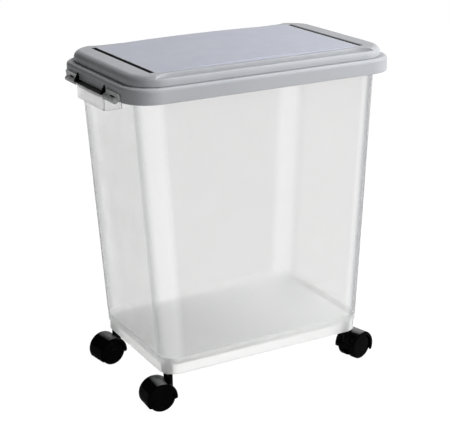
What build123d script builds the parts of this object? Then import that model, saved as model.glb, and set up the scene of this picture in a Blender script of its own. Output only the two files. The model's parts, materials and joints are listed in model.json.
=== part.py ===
"""Rolling pet food container: clear tapered bin, two-shell lid, side latches and four twin-wheel casters.

Millimetres. X runs along the long side, Y to the back, Z up. The origin is on the floor under the middle.
"""
import os

from build123d import *

# Bin: a tapered tub with rounded corners on a short inset base band
BIN_RIM_SIZE = (353.5, 216.0)
BIN_FLOOR_SIZE = (310.0, 205.0)
BIN_RIM_RADIUS = 28.0
BIN_FLOOR_RADIUS = 24.0
WALL = 2.2
FLOOR_TOP = 68.0
FLOOR_THICKNESS = 2.6
RIM_TOP = 436.0
RIM_FLANGE_SIZE = (383.0, 230.0)
RIM_FLANGE_RADIUS = 40.0
RIM_FLANGE_THICKNESS = 2.4
RIM_LIP_DEPTH = 10.0
BAND_BOTTOM = 51.0
BAND_INSET = 1.5

# Side handles under the lid, which also carry the latch hinges
HANDLE_REACH = 199.7
HANDLE_HALF_WIDTH = 44.5
HANDLE_TOP = 422.5
HANDLE_BOTTOM = 406.0
HANDLE_WALL = 2.4

# Lid: a flat frame with a skirt, and a rounded cover on it with a ledge along each long side
LID_SIZE = (389.2, 242.0)
LID_RADIUS = 40.0
SKIRT_BOTTOM = 424.0
SKIRT_TOP = 444.0
SKIRT_WALL = 2.4
SKIRT_EDGE_RADIUS = 5.0
COVER_SIZE = (371.0, 235.0)
COVER_RADIUS = 41.0
COVER_WALL = 2.4
REVEAL_HEIGHT = 1.4
REVEAL_DEPTH = 1.8
COVER_TOP = 457.8
SHOULDER_RADIUS = 9.5
LEDGE_TOP = 454.2
LEDGE_Y = 103.0
LEDGE_INNER_X = 146.0
LEDGE_OUTER_X = 178.0
LEDGE_END_RADIUS = 40.0
LEDGE_EDGE_RADIUS = 1.2
LEDGE_RIM_RADIUS = 3.0
PANEL_HALF_LENGTH = 149.0
PANEL_HALF_WIDTH = 95.5
PANEL_CROWN = 2.8
GROOVE_X = 153.2
GROOVE_WIDTH = 5.6
GROOVE_LENGTH = 184.0
GROOVE_BEVEL = 1.2
GROOVE_DEPTH = 8.0

# Gasket between the lid frame and the bin's rim
GASKET_SIZE = (364.0, 226.0)
GASKET_RADIUS = 34.0
GASKET_WIDTH = 6.0

# Latches when closed: the hinge line, the ears and tie of the lever, and the grip before the tie
HINGE_X = 198.5
HINGE_Z = 425.0
HINGE_ROD_RADIUS = 1.6
KNUCKLE_RADIUS = 2.5
BARREL_RADIUS = 3.6
BARREL_START = 47.5
BARREL_END = 78.0
EAR_X = 194.9
EAR_THICKNESS = 1.6
EAR_END = 86.0
EAR_TOP = 434.8
TIE_BOTTOM = 428.4
TIE_TOP = 430.0
SNAP_Z = 433.0
SNAP_REACH = 0.7
SLOT_Y = (59.0, 72.0)
SLOT_Z = (428.0, 430.2)
HOLE_Y = 81.5
HOLE_Z = 430.8
HOLE_RADIUS = 1.0
HOLE_DEPTH = 1.2
GRIP_HALF_WIDTH = 43.8
GRIP_FRONT_X = 202.7
GRIP_DROP = 1.4
GUSSET_BACK_X = 195.3
GUSSET_TOP = 438.3
GUSSET_THICKNESS = 1.8
LATCH_RELEASE_ANGLE = 6.0

# Casters: swivel points, the twin wheels, their hood and the push-in stem
CASTER_X = 143.5
CASTER_Y = 85.0
CASTER_TRAIL = 15.0
WHEEL_RADIUS = 19.5
WHEEL_INNER_Y = 3.0
WHEEL_OUTER_Y = 15.8
AXLE_RADIUS = 2.5
AXLE_COVER = 3.0
HOOD_RADIUS = 22.0
HOOD_HALF_WIDTH = 18.0
HOOD_WALL = 1.6
HOOD_RIM_RADIUS = 3.0
HOOD_SIDE_OPENING = 17.0
HOOD_SLANT = 12.0
HOOD_HUB_RADIUS = 6.0
HOOD_NECK_RADIUS = 6.2
HOOD_NECK_TOP = 48.4
STEM_RADIUS = 4.0
STEM_BOTTOM = 41.0
STEM_TOP = 64.0
STEM_HEAD = 3.0
STEM_SOCKET_RADIUS = 5.6
STEM_BOSS_RADIUS = 8.0
BOSS_RIB_REACH = (8.2, 10.9)
RUNNING_CLEARANCE = 0.05
CASTER_TURNS = {"front_left": -3.0, "front_right": 15.0, "rear_left": 8.0, "rear_right": -12.0}

RIGHT_ANGLE = 90.0


def outline(size, radius, z):
    """Rounded rectangle lying at height z."""
    return Pos(0, 0, z) * RectangleRounded(size[0], size[1], radius)


def slab(size, radius, bottom, top):
    """Upright prism of a rounded rectangle."""
    return extrude(outline(size, radius, bottom), top - bottom)


def ring(size, radius, thickness, bottom, top):
    """Upright wall of a rounded rectangle, thickness measured inwards."""
    inner = (size[0] - 2 * thickness, size[1] - 2 * thickness)
    return slab(size, radius, bottom, top) - slab(inner, radius - thickness, bottom, top)


def shrunk(size, inset):
    return (size[0] - 2 * inset, size[1] - 2 * inset)


def edges_at(part, z):
    """Edges that lie flat at height z."""
    return part.edges().filter_by_position(Axis.Z, z - 0.01, z + 0.01)


def block(x_range, y_range, z_range):
    """Box given by its limits along each axis."""
    size = [high - low for low, high in (x_range, y_range, z_range)]
    middle = [(low + high) / 2 for low, high in (x_range, y_range, z_range)]
    return Pos(*middle) * Box(*size)


def rod_along_y(radius, x, z, y_start, y_end):
    """Cylinder along Y through (x, z)."""
    length = y_end - y_start
    return Pos(x, (y_start + y_end) / 2, z) * Rot(RIGHT_ANGLE, 0, 0) * Cylinder(radius, length)


def rod_along_z(radius, bottom, top):
    return Pos(0, 0, (bottom + top) / 2) * Cylinder(radius, top - bottom)


def profile_along_y(points, y_start, y_end):
    """Prism along Y of a closed outline of (x, z) points."""
    face = make_face(Polyline(*[(x, y_start, z) for x, z in points], close=True))
    return extrude(face, amount=y_end - y_start, dir=(0, 1, 0))


def turned_about_y(points):
    """Solid of revolution about the Y axis from (radius, y) points."""
    face = make_face(Polyline(*[(radius, y, 0) for radius, y in points], close=True))
    return revolve(face, Axis.Y)


def both_sides(part):
    """A part and its mirror image across the middle of the width."""
    return part + mirror(part, about=Plane.XZ)


def bin_size_at(z):
    """Outer size of the tapered wall at height z."""
    share = (z - FLOOR_TOP) / (RIM_TOP - FLOOR_TOP)
    return tuple(low + share * (high - low) for low, high in zip(BIN_FLOOR_SIZE, BIN_RIM_SIZE))


def bin_radius_at(z):
    share = (z - FLOOR_TOP) / (RIM_TOP - FLOOR_TOP)
    return BIN_FLOOR_RADIUS + share * (BIN_RIM_RADIUS - BIN_FLOOR_RADIUS)


def tapered_body(bottom, top, inset):
    """Loft of the bin's outline between two heights, drawn in by an inset."""
    faces = [outline(shrunk(bin_size_at(z), inset), bin_radius_at(z) - inset, z) for z in (bottom, top)]
    return loft(faces)


def bin_handle():
    """Right-hand carry handle, open below, with the hinge knuckle along its outer edge."""
    wall_x = bin_size_at(HANDLE_BOTTOM)[0] / 2 - WALL / 2
    width = (-HANDLE_HALF_WIDTH, HANDLE_HALF_WIDTH)
    grip = block((wall_x, HANDLE_REACH), width, (HANDLE_BOTTOM, HANDLE_TOP))
    grip = fillet(grip.edges().filter_by(Axis.Z).sort_by(Axis.X)[-2:], 4.0)
    pocket_width = (width[0] + HANDLE_WALL, width[1] - HANDLE_WALL)
    pocket_heights = (HANDLE_BOTTOM - 1, HANDLE_TOP - HANDLE_WALL)
    grip -= block((wall_x, HANDLE_REACH - HANDLE_WALL), pocket_width, pocket_heights)
    knuckle_width = (width[0] + 0.6, width[1] - 0.6)
    knuckle = rod_along_y(KNUCKLE_RADIUS, HINGE_X, HINGE_Z, *knuckle_width)
    root_x = (HINGE_X - KNUCKLE_RADIUS, HANDLE_REACH)
    knuckle += block(root_x, (width[0] + 4, width[1] - 4), (HANDLE_TOP - HANDLE_WALL, HINGE_Z))
    bore = rod_along_y(HINGE_ROD_RADIUS, HINGE_X, HINGE_Z, *width)
    return grip + knuckle - bore


def stem_boss():
    """Socket under one corner of the floor for a caster's stem, with two ribs to the band."""
    underside = FLOOR_TOP - FLOOR_THICKNESS
    boss = rod_along_z(STEM_BOSS_RADIUS, BAND_BOTTOM, underside)
    boss += block((0, BOSS_RIB_REACH[0]), (-1, 1), (BAND_BOTTOM + 3, underside))
    boss += block((-1, 1), (0, BOSS_RIB_REACH[1]), (BAND_BOTTOM + 3, underside))
    return boss - rod_along_z(STEM_SOCKET_RADIUS, BAND_BOTTOM, underside)


def make_bin():
    """Tub, rim flange with its downturned lip, base band, corner sockets and side handles."""
    underside = FLOOR_TOP - FLOOR_THICKNESS
    inside = tapered_body(FLOOR_TOP, RIM_TOP + 1, WALL)
    inside = chamfer(edges_at(inside, FLOOR_TOP), 5.0)
    flange_bottom = RIM_TOP - RIM_FLANGE_THICKNESS
    tub = tapered_body(underside, RIM_TOP, 0)
    tub += slab(RIM_FLANGE_SIZE, RIM_FLANGE_RADIUS, flange_bottom, RIM_TOP)
    tub += ring(RIM_FLANGE_SIZE, RIM_FLANGE_RADIUS, WALL, RIM_TOP - RIM_LIP_DEPTH, RIM_TOP)
    handle = bin_handle()
    tub += [handle, mirror(handle, about=Plane.YZ)]
    tub -= inside
    band_size = shrunk(bin_size_at(underside), BAND_INSET)
    tub += ring(band_size, BIN_FLOOR_RADIUS - BAND_INSET, WALL, BAND_BOTTOM, FLOOR_TOP - 1)
    boss = stem_boss()
    for sx in (0, 1):
        for sy in (0, 1):
            turned = mirror(boss, about=Plane.YZ) if sx else boss
            turned = mirror(turned, about=Plane.XZ) if sy else turned
            tub += Pos(CASTER_X * (1 - 2 * sx), CASTER_Y * (1 - 2 * sy), 0) * turned
    return tub


def snap_grooves():
    """Shallow grooves in the right-hand side of the skirt for the latch's two beads."""
    groove_x = (EAR_X - SNAP_REACH - 0.2, EAR_X)
    groove_y = (BARREL_START, EAR_END)
    return both_sides(block(groove_x, groove_y, (SNAP_Z - 1.0, SNAP_Z + 1.0)))


def make_lid_frame():
    """Lower lid shell: closing plate, skirt, gasket channel and the grooves for the latches."""
    frame = slab(LID_SIZE, LID_RADIUS, SKIRT_BOTTOM, SKIRT_TOP)
    frame = fillet(edges_at(frame, SKIRT_TOP), SKIRT_EDGE_RADIUS)
    frame = fillet(edges_at(frame, SKIRT_BOTTOM), 1.0)
    plate_bottom = SKIRT_TOP - SKIRT_WALL
    hollow = slab(shrunk(LID_SIZE, SKIRT_WALL), LID_RADIUS - SKIRT_WALL, SKIRT_BOTTOM, plate_bottom)
    frame -= fillet(edges_at(hollow, plate_bottom), SKIRT_EDGE_RADIUS - SKIRT_WALL)
    gap = 0.5
    outer_rib = shrunk(GASKET_SIZE, -gap - WALL / 2)
    frame += ring(outer_rib, GASKET_RADIUS + gap, WALL / 2, plate_bottom - 3.5, plate_bottom)
    plug = shrunk(bin_size_at(RIM_TOP), WALL + 1.0)
    frame += ring(plug, BIN_RIM_RADIUS - WALL, WALL, plate_bottom - 11.0, plate_bottom)
    grooves = snap_grooves()
    return frame - [grooves, mirror(grooves, about=Plane.YZ)]


def cover_groove():
    """Straight groove across the cover's top, bevelled on its outer edge, and its trough, at the right."""
    half = GROOVE_LENGTH / 2
    floor = COVER_TOP - GROOVE_DEPTH
    inner_x = GROOVE_X - GROOVE_WIDTH / 2
    outer_x = GROOVE_X + GROOVE_WIDTH / 2
    trough_x = (inner_x - COVER_WALL, outer_x + COVER_WALL)
    trough = block(trough_x, (-half - COVER_WALL, half + COVER_WALL), (floor - COVER_WALL, COVER_TOP - 1))
    high = COVER_TOP + PANEL_CROWN
    section = [
        (inner_x, floor),
        (outer_x, floor),
        (outer_x, COVER_TOP - GROOVE_BEVEL),
        (outer_x + GROOVE_BEVEL, COVER_TOP),
        (outer_x + GROOVE_BEVEL, high),
        (inner_x, high),
    ]
    return trough, profile_along_y(section, -half, half)


def crowned_panel():
    """Middle of the top, arched along the length and flush at the grooves."""
    low = COVER_TOP - COVER_WALL / 2
    corner = (PANEL_HALF_LENGTH, -PANEL_HALF_WIDTH, COVER_TOP)
    other = (-PANEL_HALF_LENGTH, -PANEL_HALF_WIDTH, COVER_TOP)
    arch = ThreePointArc(other, (0, -PANEL_HALF_WIDTH, COVER_TOP + PANEL_CROWN), corner)
    sides = Polyline(corner, (corner[0], corner[1], low), (other[0], other[1], low), other)
    return extrude(make_face([arch, sides]), amount=2 * PANEL_HALF_WIDTH, dir=(0, 1, 0))


def side_ledge(inset):
    """What a ledge takes off the back edge of the cover, running out towards the corners."""
    near = LEDGE_Y - inset
    far = COVER_SIZE[1] / 2 + 10
    corners = [
        (-LEDGE_INNER_X - inset, near),
        (LEDGE_INNER_X + inset, near),
        (LEDGE_OUTER_X + inset, far),
        (-LEDGE_OUTER_X - inset, far),
    ]
    face = make_face(Polyline(*[(x, y, LEDGE_TOP - inset) for x, y in corners], close=True))
    cut = extrude(face, COVER_TOP - LEDGE_TOP + inset)
    return fillet(cut.edges().filter_by(Axis.Z).group_by(Axis.Y)[0], LEDGE_END_RADIUS)


def cover_body(inset):
    """Rounded deck with a ledge along each long side, drawn in by an inset."""
    size = shrunk(COVER_SIZE, inset)
    top = COVER_TOP - inset
    deck = slab(size, COVER_RADIUS - inset, SKIRT_TOP, top)
    deck = fillet(edges_at(deck, top), SHOULDER_RADIUS - inset)
    return deck - both_sides(side_ledge(inset))


def make_lid_cover():
    """Upper lid shell: rounded deck over a shadow gap, side ledges, crowned panel and two grooves."""
    cover = cover_body(0)
    ledge_edges = edges_at(cover, LEDGE_TOP).filter_by(Axis.X).sort_by(Axis.Y)
    cover = fillet([ledge_edges[0], ledge_edges[-1]], LEDGE_RIM_RADIUS)
    cover = fillet(edges_at(cover, COVER_TOP).filter_by(Axis.X), LEDGE_EDGE_RADIUS)
    clear = 1.0
    gap_size = shrunk(COVER_SIZE, -clear)
    gap_top = SKIRT_TOP + REVEAL_HEIGHT
    cover -= ring(gap_size, COVER_RADIUS + clear, REVEAL_DEPTH + clear, SKIRT_TOP, gap_top)
    inset = REVEAL_DEPTH + COVER_WALL
    chamber = slab(shrunk(COVER_SIZE, inset), COVER_RADIUS - inset, SKIRT_TOP, COVER_TOP)
    cover -= cover_body(COVER_WALL) & chamber
    cover += crowned_panel()
    trough, slot = cover_groove()
    cover += [trough, mirror(trough, about=Plane.YZ)]
    return cover - [slot, mirror(slot, about=Plane.YZ)]


def make_lid_gasket():
    """Soft ring squeezed between the frame's plate and the bin's rim."""
    plate_bottom = SKIRT_TOP - SKIRT_WALL
    gasket = ring(GASKET_SIZE, GASKET_RADIUS, GASKET_WIDTH, RIM_TOP, plate_bottom)
    return fillet(edges_at(gasket, RIM_TOP), 1.5)


def released(part):
    """A latch piece turned from its closed place to rest, just clear of the lid."""
    hinge = Axis((HINGE_X, 0, HINGE_Z), (0, 1, 0))
    return part.rotate(hinge, LATCH_RELEASE_ANGLE)


def lever_ear():
    """One end of the lever: flat ear with a snap bead, over a hinge barrel."""
    front = EAR_X + EAR_THICKNESS
    ear = block((EAR_X, front), (BARREL_START, EAR_END), (HINGE_Z, EAR_TOP))
    ear = fillet(ear.edges().filter_by(Axis.X).group_by(Axis.Z)[-1], 2.0)
    ear += rod_along_y(SNAP_REACH, EAR_X, SNAP_Z, BARREL_START + 3, EAR_END - 3)
    ear += rod_along_y(BARREL_RADIUS, HINGE_X, HINGE_Z, BARREL_START, BARREL_END)
    ear -= block((front - 0.8, HINGE_X), SLOT_Y, SLOT_Z)
    hole = Cylinder(HOLE_RADIUS, 2 * HOLE_DEPTH, rotation=(0, RIGHT_ANGLE, 0))
    ear -= Pos(front, HOLE_Y, HOLE_Z) * hole
    bore_end = BARREL_END - 2.0
    return ear - rod_along_y(HINGE_ROD_RADIUS + RUNNING_CLEARANCE, HINGE_X, HINGE_Z, 0, bore_end)


def make_latch_lever():
    """Right-hand lever: two hinged ears joined by a tie along the skirt."""
    tie_half = BARREL_START + 1
    tie = block((EAR_X, EAR_X + EAR_THICKNESS), (-tie_half, tie_half), (TIE_BOTTOM, TIE_TOP))
    return released(tie + both_sides(lever_ear()))


def make_latch_grip():
    """Right-hand finger grip: a sloping ledge before the tie with a triangular gusset at each end."""
    back = EAR_X + EAR_THICKNESS
    bottom = TIE_BOTTOM - GRIP_DROP
    top = TIE_TOP - GRIP_DROP
    slope = [(back, TIE_BOTTOM), (GRIP_FRONT_X, bottom), (GRIP_FRONT_X, top), (back, TIE_TOP)]
    ledge = profile_along_y(slope, -GRIP_HALF_WIDTH, GRIP_HALF_WIDTH)
    triangle = [
        (GUSSET_BACK_X, TIE_TOP),
        (back, TIE_TOP),
        (GRIP_FRONT_X, top),
        (GUSSET_BACK_X + 0.8, GUSSET_TOP),
        (GUSSET_BACK_X, GUSSET_TOP),
    ]
    gusset = profile_along_y(triangle, GRIP_HALF_WIDTH - GUSSET_THICKNESS, GRIP_HALF_WIDTH)
    return released(ledge + both_sides(gusset))


def make_latch_rod():
    """Steel hinge rod pressed through the handle's knuckle, with both ends in the barrels."""
    end = BARREL_END - 2.5
    return rod_along_y(HINGE_ROD_RADIUS, HINGE_X, HINGE_Z, -end, end)


def caster_drum(radius, half_width):
    """Cylinder along the axle, on the caster's own origin."""
    return rod_along_y(radius, CASTER_TRAIL, WHEEL_RADIUS, -half_width, half_width)


def make_caster_hood():
    """Hood over both wheels: open sides, slanted lower edge, middle web with the hub, and the neck."""
    drum = caster_drum(HOOD_RADIUS, HOOD_HALF_WIDTH)
    hood = fillet(drum.edges().filter_by(GeomType.CIRCLE), HOOD_RIM_RADIUS)
    neck = rod_along_z(HOOD_NECK_RADIUS, WHEEL_RADIUS + 8, HOOD_NECK_TOP)
    hood += chamfer(edges_at(neck, HOOD_NECK_TOP), 0.8)
    hollow = caster_drum(HOOD_RADIUS - HOOD_WALL, HOOD_HALF_WIDTH - HOOD_WALL)
    hood -= chamfer(hollow.edges().filter_by(GeomType.CIRCLE), 0.4 * HOOD_RIM_RADIUS)
    hood -= caster_drum(HOOD_SIDE_OPENING, HOOD_HALF_WIDTH)
    reach = 3 * HOOD_RADIUS
    below = Box(2 * reach, reach, reach, align=(Align.CENTER, Align.CENTER, Align.MAX))
    hood -= Pos(CASTER_TRAIL, 0, WHEEL_RADIUS - 6) * Rot(0, HOOD_SLANT, 0) * below
    web_half = WHEEL_INNER_Y - 0.8
    web = caster_drum(HOOD_RADIUS - HOOD_WALL / 2, web_half)
    web -= Pos(CASTER_TRAIL, 0, WHEEL_RADIUS) * below
    web += caster_drum(HOOD_HUB_RADIUS, web_half)
    hood += web
    hood -= caster_drum(AXLE_RADIUS + 0.02, reach)
    return hood - rod_along_z(STEM_RADIUS + RUNNING_CLEARANCE, STEM_BOTTOM - 0.5, HOOD_NECK_TOP)


def make_caster_wheel():
    """Wheel on the +Y side: rounded tread, closed and slightly domed outer face, hollow inner face."""
    bore = AXLE_RADIUS + RUNNING_CLEARANCE
    inner = WHEEL_INNER_Y
    outer = WHEEL_OUTER_Y
    rim = WHEEL_RADIUS - 3.5
    section = [
        (bore, inner),
        (5.5, inner),
        (5.5, outer - AXLE_COVER),
        (rim, outer - AXLE_COVER),
        (rim, inner),
        (WHEEL_RADIUS - 1.2, inner),
        (WHEEL_RADIUS, inner + 1.5),
        (WHEEL_RADIUS, outer - 3.0),
        (WHEEL_RADIUS - 2.2, outer - 1.0),
        (WHEEL_RADIUS - 3.4, outer - 1.0),
        (WHEEL_RADIUS - 4.0, outer - 0.5),
        (0, outer),
        (0, outer - AXLE_COVER + 0.8),
        (bore, outer - AXLE_COVER + 0.8),
    ]
    return Pos(CASTER_TRAIL, 0, WHEEL_RADIUS) * turned_about_y(section)


def make_caster_axle():
    axle = caster_drum(AXLE_RADIUS, WHEEL_OUTER_Y - AXLE_COVER)
    return chamfer(axle.edges().filter_by(GeomType.CIRCLE), 0.6)


def make_caster_stem():
    """Push-in stem: pivot below, collar under the socket, and a waist for the grip ring."""
    stem = rod_along_z(STEM_RADIUS, STEM_BOTTOM, BAND_BOTTOM)
    stem += rod_along_z(HOOD_NECK_RADIUS, HOOD_NECK_TOP + 0.4, BAND_BOTTOM)
    stem += rod_along_z(STEM_RADIUS - 0.4, BAND_BOTTOM, STEM_TOP)
    for low, high in ((BAND_BOTTOM, BAND_BOTTOM + STEM_HEAD), (STEM_TOP - STEM_HEAD, STEM_TOP)):
        stem += rod_along_z(STEM_RADIUS + 1.0, low, high)
    return chamfer(edges_at(stem, STEM_TOP), 1.0)


def make_caster_grip_ring():
    """Split spring ring that holds the stem in its socket."""
    bottom = BAND_BOTTOM + STEM_HEAD + 0.2
    top = STEM_TOP - STEM_HEAD - 0.2
    grip = rod_along_z(STEM_SOCKET_RADIUS, bottom, top) - rod_along_z(STEM_RADIUS - 0.3, bottom, top)
    return grip - block((0, 2 * STEM_RADIUS), (-1, 1), (bottom, top))


def caster_pieces():
    """Pieces of one caster on its own swivel line, trailing towards +X, outer wheel at +Y."""
    wheel = make_caster_wheel()
    return {
        "hood": make_caster_hood(),
        "stem": make_caster_stem(),
        "grip_ring": make_caster_grip_ring(),
        "axle": make_caster_axle(),
        "outer_wheel": wheel,
        "inner_wheel": mirror(wheel, about=Plane.XZ),
    }


def placed_casters():
    """All four casters, each standing at its own swivel angle; the left pair trails to the left."""
    nodes = {}
    for name, piece in caster_pieces().items():
        for corner, turn in CASTER_TURNS.items():
            x, y = CASTER_X, CASTER_Y
            placed = piece
            if "front" in corner:
                placed = mirror(placed, about=Plane.XZ)
                y = -y
            if "left" in corner:
                placed = mirror(placed, about=Plane.YZ)
                x = -x
            nodes[f"{corner}_caster_{name}"] = Pos(x, y, 0) * Rot(0, 0, turn) * placed
    return nodes


def placed_latches():
    """Lever, grip and hinge rod at both ends."""
    nodes = {}
    pieces = {"lever": make_latch_lever(), "grip": make_latch_grip(), "hinge_rod": make_latch_rod()}
    for name, piece in pieces.items():
        nodes[f"right_latch_{name}"] = piece
        nodes[f"left_latch_{name}"] = mirror(piece, about=Plane.YZ)
    return nodes


def main():
    nodes = {
        "bin": make_bin(),
        "lid_frame": make_lid_frame(),
        "lid_cover": make_lid_cover(),
        "lid_gasket": make_lid_gasket(),
    }
    nodes.update(placed_latches())
    nodes.update(placed_casters())
    os.makedirs("parts", exist_ok=True)
    for name, part in nodes.items():
        part.label = name
        export_step(part, f"parts/{name}.step")


main()
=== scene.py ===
"""Looks of the rolling pet food container: materials, light, floor and camera. Metres, Z up."""

import json
from math import pi, radians

import bpy
from mathutils import Euler, Matrix, Vector


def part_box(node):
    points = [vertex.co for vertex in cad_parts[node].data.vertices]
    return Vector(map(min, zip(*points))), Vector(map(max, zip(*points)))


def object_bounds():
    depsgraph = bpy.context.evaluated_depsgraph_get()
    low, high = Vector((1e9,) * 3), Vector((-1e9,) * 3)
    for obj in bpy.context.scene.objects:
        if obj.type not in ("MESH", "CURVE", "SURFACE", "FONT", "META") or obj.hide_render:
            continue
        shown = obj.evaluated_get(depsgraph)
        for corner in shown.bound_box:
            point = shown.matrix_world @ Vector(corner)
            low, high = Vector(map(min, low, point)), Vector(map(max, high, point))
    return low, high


# Camera of the photograph, which is 450 by 448 pixels
PHOTO_WIDTH = 450
FOCAL_LENGTH_PIXELS = 1251.4
SENSOR_WIDTH = 36.0
CAMERA_PLACE = (-0.789, -1.454, 0.787)
CAMERA_YAW = radians(28.26)
CAMERA_PITCH = radians(19.32)
CAMERA_ROLL = radians(-1.01)

# Places on the lid where the finish and the painted shade change, from its middle or as depths below
# the deck
PANEL_HALF_LENGTH = 0.1493
PANEL_HALF_WIDTH = 0.0958
PANEL_CROWN = 0.0028
DECK_SKIN = 0.0005
GROOVE_OUTER_X = 0.1562
GROOVE_INNER_X = 0.1502
GROOVE_HALF_LENGTH = 0.0922
GROOVE_DEPTH = 0.0095

# Places on the bin where the finish and the painted light change: X and Y from its middle, Z from the
# ground
BASE_BAND_HEIGHT = 0.022
BASE_BAND_FADE = 0.004
BIN_FLOOR_HALF_LENGTH = 0.1505
BIN_FLOOR_HALF_WIDTH = 0.098
BIN_TAPER = 0.059
END_WALL_FADE_X = (0.120, 0.130)
CORNER_FADE_Y = (0.076, 0.084)
HANDLE_START_X = 0.179
HANDLE_BOTTOM_Z = 0.4

# Slot and small hole in the face of each latch ear, painted dark as shade: limits along Y, then along
# Z
LEVER_FACE_X = 0.1966
LEVER_SLOT = ((0.0588, 0.0722), (0.4281, 0.4305))
LEVER_HOLE = ((0.0804, 0.0826), (0.4297, 0.4323))

# A painted grey reflection on the caster hoods sets in between these heights, and these upward parts
# of the normal
HOOD_REFLECTION_HEIGHTS = (0.0398, 0.0414)
HOOD_REFLECTION_SLOPES = (0.8, 0.95)

# Clear plastic: its tones, with painted light in the palest tone and in the end-wall tone, how much
# light passes, and the roughness added where it is hazy
PAINTED_LIGHT_TONE = (0.99, 0.99, 0.99)
END_WALL_PAINTED_LIGHT = (0.925, 0.925, 0.924)
EDGE_ON_TONE = (0.6, 0.605, 0.62)
EDGE_ON_TURN = (0.14, 0.45)
BASE_BAND_TONE = (0.91, 0.91, 0.905)
BIN_FLOOR_TONE = (0.8, 0.8, 0.795)
SHADOW_TONE = (0.9, 0.91, 0.91)
WALL_TRANSMISSION = 0.97
BASE_BAND_TRANSMISSION = 0.9
BIN_FLOOR_LOSS = 0.25
BASE_BAND_HAZE = 0.4
HANDLE_HAZE = 0.15

# Painted shade: black in the lid's grooves and in the recesses of the latch ears
GROOVE_PAINTED_SHADE = (0.006, 0.006, 0.007)
RECESS_PAINTED_SHADE = (0.01, 0.01, 0.011)

# Half widths over which one finish passes into the next
SOFT_EDGE = 0.0003
SHARP_EDGE = 0.0001

# Noise: the part of its range that carries a change, its fineness, and the relief made of it
NOISE_SPREAD = (0.3, 0.7)
NOISE_ROUGHNESS = 0.55
NOISE_DETAIL = 4.0
GRAIN_DETAIL = 2.0
GRAIN_HEIGHT = 0.0002

# Studio
WHITE = (1.0, 1.0, 1.0, 1.0)
FLOOR_SIZE = 60.0
FLOOR_GLOW_SHARE = 0.8
FLOOR_GLOW_STRENGTH = 1.23
WORLD_LIGHT = 0.05
BACKDROP_DIRECTION = (0.47, 0.88, 0.0)
BACKDROP_FADE = (0.75, 0.95)

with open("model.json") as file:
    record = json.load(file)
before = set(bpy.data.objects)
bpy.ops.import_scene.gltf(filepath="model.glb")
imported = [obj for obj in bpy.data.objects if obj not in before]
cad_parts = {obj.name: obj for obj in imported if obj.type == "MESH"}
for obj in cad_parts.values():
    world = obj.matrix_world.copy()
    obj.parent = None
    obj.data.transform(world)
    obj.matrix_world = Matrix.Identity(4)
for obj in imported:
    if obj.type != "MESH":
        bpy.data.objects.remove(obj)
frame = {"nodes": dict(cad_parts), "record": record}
cad_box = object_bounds()


class Nodes:
    """Short calls to build one node tree."""

    def __init__(self, tree):
        self.tree = tree

    def add(self, kind, **settings):
        node = self.tree.nodes.new(kind)
        for key, value in settings.items():
            setattr(node, key, value)
        return node

    def link(self, source, target):
        self.tree.links.new(source, target)

    def place(self):
        return self.add("ShaderNodeTexCoord").outputs["Object"]

    def part_along(self, axis, vector):
        split = self.add("ShaderNodeSeparateXYZ")
        self.link(vector, split.inputs["Vector"])
        return split.outputs[axis]

    def coordinate(self, axis):
        return self.part_along(axis, self.place())

    def math(self, operation, first, second=None):
        node = self.add("ShaderNodeMath", operation=operation)
        for socket, value in zip(node.inputs, (first, second)):
            if isinstance(value, (int, float)):
                socket.default_value = value
            elif value is not None:
                self.link(value, socket)
        return node.outputs["Value"]

    def product(self, *values):
        result = values[0]
        for value in values[1:]:
            result = self.math("MULTIPLY", result, value)
        return result

    def opposite(self, mask):
        return self.math("SUBTRACT", 1.0, mask)

    def remap(self, value, start, end, low=0.0, high=1.0):
        """Goes from low to high while the value goes from start to end, and stays there."""
        node = self.add("ShaderNodeMapRange")
        node.inputs["From Min"].default_value = start
        node.inputs["From Max"].default_value = end
        node.inputs["To Min"].default_value = low
        node.inputs["To Max"].default_value = high
        self.link(value, node.inputs["Value"])
        return node.outputs["Result"]

    def noise(self, scale, detail=NOISE_DETAIL):
        node = self.add("ShaderNodeTexNoise")
        node.inputs["Scale"].default_value = scale
        node.inputs["Detail"].default_value = detail
        node.inputs["Roughness"].default_value = NOISE_ROUGHNESS
        self.link(self.place(), node.inputs["Vector"])
        return node.outputs["Fac"]

    def uneven(self, scale, low, high):
        """Noise that wanders between two values."""
        return self.remap(self.noise(scale), *NOISE_SPREAD, low, high)

    def patches(self, scale, dark, pale):
        """Noise that wanders between two colours."""
        node = self.add("ShaderNodeValToRGB")
        for element, position, color in zip(node.color_ramp.elements, NOISE_SPREAD, (dark, pale)):
            element.position = position
            element.color = (*color, 1.0)
        self.link(self.noise(scale), node.inputs["Fac"])
        return node.outputs["Color"]

    def blend(self, factor, first, second):
        """Colour that goes from first to second."""
        node = self.add("ShaderNodeMix", data_type="RGBA")
        self.link(factor, node.inputs["Factor"])
        for socket, value in (("A", first), ("B", second)):
            if isinstance(value, tuple):
                node.inputs[socket].default_value = (*value, 1.0)
            else:
                self.link(value, node.inputs[socket])
        return node.outputs["Result"]

    def mix_shaders(self, factor, first, second):
        node = self.add("ShaderNodeMixShader")
        self.link(factor, node.inputs["Fac"])
        self.link(first, node.inputs[1])
        self.link(second, node.inputs[2])
        return node.outputs["Shader"]

    def seen_directly(self, outward):
        """1 for what the camera sees, also through clear plastic or in a reflection, and 0 for light.

        Reflections are bright towards the backdrop and darker towards the camera's side of the studio.
        Outward is the direction from the container, or the place on the floor, that is seen.
        """
        path = self.add("ShaderNodeLightPath")
        toward = self.add("ShaderNodeVectorMath", operation="DOT_PRODUCT")
        self.link(outward, toward.inputs[0])
        toward.inputs[1].default_value = BACKDROP_DIRECTION
        backdrop = self.remap(toward.outputs["Value"], *BACKDROP_FADE)
        reflected = self.product(path.outputs["Is Glossy Ray"], backdrop)
        seen = self.math("MAXIMUM", path.outputs["Is Camera Ray"], path.outputs["Is Transmission Ray"])
        return self.math("MAXIMUM", seen, reflected)


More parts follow.
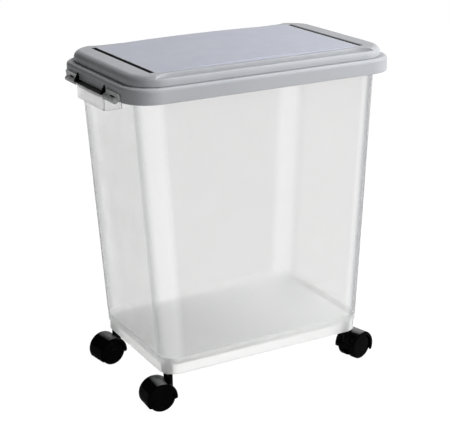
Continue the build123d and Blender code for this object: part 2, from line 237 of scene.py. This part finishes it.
class Material(Nodes):
    """A material on the standard surface shader, with named inputs."""

    def __init__(self, name):
        self.material = bpy.data.materials.new(name)
        self.material.use_nodes = True
        super().__init__(self.material.node_tree)
        self.shader = self.tree.nodes["Principled BSDF"]
        self.output = self.tree.nodes["Material Output"]

    def drive(self, name, source):
        self.link(source, self.shader.inputs[name])

    def fix(self, name, value):
        self.shader.inputs[name].default_value = value

    def grain(self, scale, strength, height=GRAIN_HEIGHT):
        """Fine relief of the surface."""
        node = self.add("ShaderNodeBump")
        node.inputs["Strength"].default_value = strength
        node.inputs["Distance"].default_value = height
        self.link(self.noise(scale, GRAIN_DETAIL), node.inputs["Height"])
        self.drive("Normal", node.outputs["Normal"])

    def inside(self, axis, half, soft=SOFT_EDGE):
        """1 where the distance from the middle along an axis is under half, 0 beyond it."""
        distance = self.math("ABSOLUTE", self.coordinate(axis))
        return self.remap(distance, half - soft, half + soft, 1.0, 0.0)

    def between(self, axis, low, high):
        """1 where the distance from the middle along an axis is from low to high."""
        under_high = self.inside(axis, high, SHARP_EDGE)
        under_low = self.inside(axis, low, SHARP_EDGE)
        return self.math("SUBTRACT", under_high, under_low)

    def above(self, height, soft=SOFT_EDGE):
        return self.remap(self.coordinate("Z"), height - soft, height + soft)


def grey_polypropylene():
    """Satin moulded grey, cooler on the crowned panel, with black painted shade inside the two
    grooves.
    """
    m = Material("grey_polypropylene")
    deck_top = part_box("lid_cover")[1][2] - PANEL_CROWN
    on_deck = m.above(deck_top - DECK_SKIN)
    panel = m.product(m.inside("X", PANEL_HALF_LENGTH), m.inside("Y", PANEL_HALF_WIDTH), on_deck)
    groove_width = m.math("SUBTRACT", m.inside("X", GROOVE_OUTER_X), m.inside("X", GROOVE_INNER_X))
    groove_depth = m.product(m.opposite(on_deck), m.above(deck_top - GROOVE_DEPTH))
    groove_shade = m.product(groove_width, m.inside("Y", GROOVE_HALF_LENGTH), groove_depth)
    plain_grey = m.patches(scale=9.0, dark=(0.405, 0.416, 0.438), pale=(0.445, 0.456, 0.479))
    cool_grey = m.patches(scale=14.0, dark=(0.485, 0.503, 0.583), pale=(0.503, 0.521, 0.60))
    # Painted shade: the inside of each groove is painted black.
    m.drive("Base Color", m.blend(groove_shade, m.blend(panel, plain_grey, cool_grey), GROOVE_PAINTED_SHADE))
    m.drive("Roughness", m.uneven(scale=60.0, low=0.42, high=0.54))
    m.grain(scale=1400.0, strength=0.12)
    return m.material


def pale_grey_plastic():
    """Pale latch lever, with dark painted shade in the slot and in the small hole of each ear."""
    m = Material("pale_grey_plastic")
    recesses = (LEVER_SLOT, LEVER_HOLE)
    cuts = [m.product(m.between("Y", *across), m.between("Z", *up)) for across, up in recesses]
    recess_shade = m.product(m.math("MAXIMUM", *cuts), m.inside("X", LEVER_FACE_X))
    pale_grey = m.patches(scale=40.0, dark=(0.625, 0.63, 0.635), pale=(0.685, 0.69, 0.695))
    # Painted shade: the slot and the hole are painted near black.
    m.drive("Base Color", m.blend(recess_shade, pale_grey, RECESS_PAINTED_SHADE))
    m.drive("Roughness", m.uneven(scale=200.0, low=0.26, high=0.36))
    m.grain(scale=1100.0, strength=0.05)
    return m.material


def deep_black(m):
    """Colour of the black plastics, which also get little gloss and a fine grain."""
    m.fix("Specular IOR Level", 0.05)
    m.grain(scale=900.0, strength=0.05)
    return m.patches(scale=50.0, dark=(0.001, 0.001, 0.001), pale=(0.002, 0.002, 0.0022))


def black_plastic():
    """Satin black of the latch grips."""
    m = Material("black_plastic")
    m.drive("Base Color", deep_black(m))
    m.drive("Roughness", m.uneven(scale=180.0, low=0.35, high=0.45))
    return m.material


def black_nylon():
    """Glossy black of the casters, with a painted grey reflection where the hoods face up above the
    wheels.
    """
    m = Material("black_nylon")
    upward = m.part_along("Z", m.add("ShaderNodeNewGeometry").outputs["Normal"])
    # Painted reflection: the hood tops that face up are painted grey.
    painted_reflection = m.product(m.remap(upward, *HOOD_REFLECTION_SLOPES), m.remap(m.coordinate("Z"), *HOOD_REFLECTION_HEIGHTS))
    reflection_grey = m.patches(scale=90.0, dark=(0.12, 0.12, 0.122), pale=(0.17, 0.17, 0.172))
    m.drive("Base Color", m.blend(painted_reflection, deep_black(m), reflection_grey))
    m.drive("Roughness", m.uneven(scale=180.0, low=0.08, high=0.14))
    return m.material


def steel():
    """Bright zinc plate of the rods, stems, rings and axles."""
    m = Material("steel")
    m.drive("Base Color", m.patches(scale=120.0, dark=(0.5, 0.5, 0.51), pale=(0.64, 0.64, 0.65)))
    m.fix("Metallic", 1.0)
    m.drive("Roughness", m.uneven(scale=400.0, low=0.25, high=0.4))
    return m.material


def seal_rubber():
    """Soft grey silicone of the gasket."""
    m = Material("seal_rubber")
    m.drive("Base Color", m.patches(scale=80.0, dark=(0.5, 0.51, 0.52), pale=(0.6, 0.61, 0.62)))
    m.drive("Roughness", m.uneven(scale=300.0, low=0.6, high=0.75))
    return m.material


def bin_ends(m):
    """1 on the end walls of the tapered bin and its rounded upright corners, 0 on the long walls."""
    taper = m.product(m.coordinate("Z"), BIN_TAPER)
    along = m.math("SUBTRACT", m.math("ABSOLUTE", m.coordinate("X")), taper)
    return m.remap(along, *END_WALL_FADE_X)


def bin_corners(m):
    """1 on the rounded upright corners of the tapered walls, 0 on their flat parts."""
    across = m.math("ABSOLUTE", m.coordinate("Y"))
    return m.product(bin_ends(m), m.remap(across, *CORNER_FADE_Y))


def clear_walls(m):
    """Tone of the walls: lighter at the ends as painted light, palest at the corners as a painted
    highlight, and grey where a corner is seen edge on.
    """
    long_walls = m.patches(scale=5.0, dark=(0.845, 0.845, 0.844), pale=(0.868, 0.868, 0.867))
    # Painted light: the end walls are painted lighter than the long walls.
    flat_walls = m.blend(bin_ends(m), long_walls, END_WALL_PAINTED_LIGHT)
    edge_on = m.remap(m.add("ShaderNodeLayerWeight").outputs["Facing"], *EDGE_ON_TURN)
    # Painted highlight: corners that face the eye are painted palest.
    corners = m.blend(edge_on, PAINTED_LIGHT_TONE, EDGE_ON_TONE)
    return m.blend(bin_corners(m), flat_walls, corners)


def cast_faint_shadow(m):
    """Lets light through the material on its way from the lamps."""
    clear = m.add("ShaderNodeBsdfTransparent")
    clear.inputs["Color"].default_value = (*SHADOW_TONE, 1.0)
    to_lamp = m.add("ShaderNodeLightPath").outputs["Is Shadow Ray"]
    surface = m.mix_shaders(to_lamp, m.shader.outputs["BSDF"], clear.outputs["BSDF"])
    m.link(surface, m.output.inputs["Surface"])


def clear_polypropylene():
    """Translucent moulded plastic with soft waves: hazy walls, and a milky floor and base band."""
    m = Material("clear_polypropylene")
    base_band_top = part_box("bin")[0][2] + BASE_BAND_HEIGHT
    wall = m.above(base_band_top, soft=BASE_BAND_FADE)
    floor_area = m.product(m.inside("X", BIN_FLOOR_HALF_LENGTH), m.inside("Y", BIN_FLOOR_HALF_WIDTH))
    floor = m.product(floor_area, m.opposite(wall))
    handle = m.product(m.opposite(m.inside("X", HANDLE_START_X)), m.above(HANDLE_BOTTOM_Z))
    milky = m.blend(floor, BASE_BAND_TONE, BIN_FLOOR_TONE)
    # Painted light: the handle blocks under the latches take the palest tone to lighten their shade.
    m.drive("Base Color", m.blend(wall, milky, m.blend(handle, clear_walls(m), PAINTED_LIGHT_TONE)))
    passed = m.remap(wall, 0.0, 1.0, BASE_BAND_TRANSMISSION, WALL_TRANSMISSION)
    m.drive("Transmission Weight", m.math("SUBTRACT", passed, m.product(floor, BIN_FLOOR_LOSS)))
    haze = m.math("ADD", m.remap(wall, 0.0, 1.0, BASE_BAND_HAZE, 0.0), m.product(handle, HANDLE_HAZE))
    m.drive("Roughness", m.math("ADD", m.uneven(scale=30.0, low=0.14, high=0.2), haze))
    m.fix("IOR", 1.3)
    m.grain(scale=14.0, strength=0.04, height=0.002)
    cast_faint_shadow(m)
    return m.material


def dress_nodes():
    """Gives every CAD node the material of its slot in the record."""
    materials = {
        "clear_polypropylene": clear_polypropylene(),
        "grey_polypropylene": grey_polypropylene(),
        "pale_grey_plastic": pale_grey_plastic(),
        "black_plastic": black_plastic(),
        "black_nylon": black_nylon(),
        "seal_rubber": seal_rubber(),
        "steel": steel(),
    }
    for subpart in frame["record"]["subparts"]:
        node = frame["nodes"][subpart["node"]]
        node.data.materials.clear()
        node.data.materials.append(materials[subpart["material_slot"]])


def add_floor():
    """Pale floor that glows for the camera, so that it looks white and keeps a soft shadow."""
    bpy.ops.mesh.primitive_plane_add(size=FLOOR_SIZE)
    floor = bpy.context.object
    floor.name = "floor"
    m = Material("pale_floor")
    m.drive("Base Color", m.patches(scale=2.0, dark=(0.30, 0.30, 0.30), pale=(0.33, 0.33, 0.33)))
    m.fix("Roughness", 0.9)
    m.fix("Specular IOR Level", 0.0)
    glow = m.add("ShaderNodeEmission")
    glow.inputs["Color"].default_value = WHITE
    glow.inputs["Strength"].default_value = FLOOR_GLOW_STRENGTH
    share = m.product(m.seen_directly(m.place()), FLOOR_GLOW_SHARE)
    surface = m.mix_shaders(share, m.shader.outputs["BSDF"], glow.outputs["Emission"])
    m.link(surface, m.output.inputs["Surface"])
    floor.data.materials.append(m.material)


def add_soft_box(name, place, size, power, mirrored):
    """Square lamp that looks at the middle of the container, and may show in reflections."""
    lamp = bpy.data.lights.new(name, "AREA")
    lamp.shape = "SQUARE"
    lamp.size = size
    lamp.energy = power
    light = bpy.data.objects.new(name, lamp)
    bpy.context.scene.collection.objects.link(light)
    light.location = place
    light.visible_glossy = mirrored
    light.visible_transmission = mirrored
    middle = Vector((0.0, 0.0, cad_box[1][2] / 2))
    light.rotation_euler = (middle - light.location).to_track_quat("-Z", "Y").to_euler()


def add_light():
    """Surroundings that look white but light the object only a little, and four soft boxes."""
    world = bpy.data.worlds.new("studio")
    bpy.context.scene.world = world
    world.use_nodes = True
    n = Nodes(world.node_tree)
    background = world.node_tree.nodes["Background"]
    background.inputs["Color"].default_value = WHITE
    direction = n.add("ShaderNodeTexCoord").outputs["Generated"]
    strength = n.remap(n.seen_directly(direction), 0.0, 1.0, WORLD_LIGHT, 1.0)
    n.link(strength, background.inputs["Strength"])
    add_soft_box("top", place=(2.0, 0.0, 3.7), size=1.6, power=90.0, mirrored=True)
    add_soft_box("key", place=(0.92, -1.04, 0.85), size=0.9, power=23.6, mirrored=False)
    add_soft_box("left fill", place=(-1.25, -1.5, 0.6), size=0.9, power=7.6, mirrored=False)
    add_soft_box("back fill", place=(0.1, 2.0, 1.0), size=0.9, power=8.0, mirrored=False)


def add_camera():
    """Camera at the photograph's place, with its angle and its field of view."""
    data = bpy.data.cameras.new("camera")
    data.sensor_width = SENSOR_WIDTH
    data.lens = FOCAL_LENGTH_PIXELS / PHOTO_WIDTH * SENSOR_WIDTH
    camera = bpy.data.objects.new("camera", data)
    bpy.context.scene.collection.objects.link(camera)
    facing = Euler((pi / 2 - CAMERA_PITCH, 0.0, -CAMERA_YAW)).to_matrix()
    turned = facing @ Matrix.Rotation(CAMERA_ROLL, 3, "Z")
    camera.matrix_world = Matrix.Translation(CAMERA_PLACE) @ turned.to_4x4()
    bpy.context.scene.camera = camera
    bpy.context.scene.view_settings.view_transform = "Standard"


dress_nodes()
add_floor()
add_light()
add_camera()
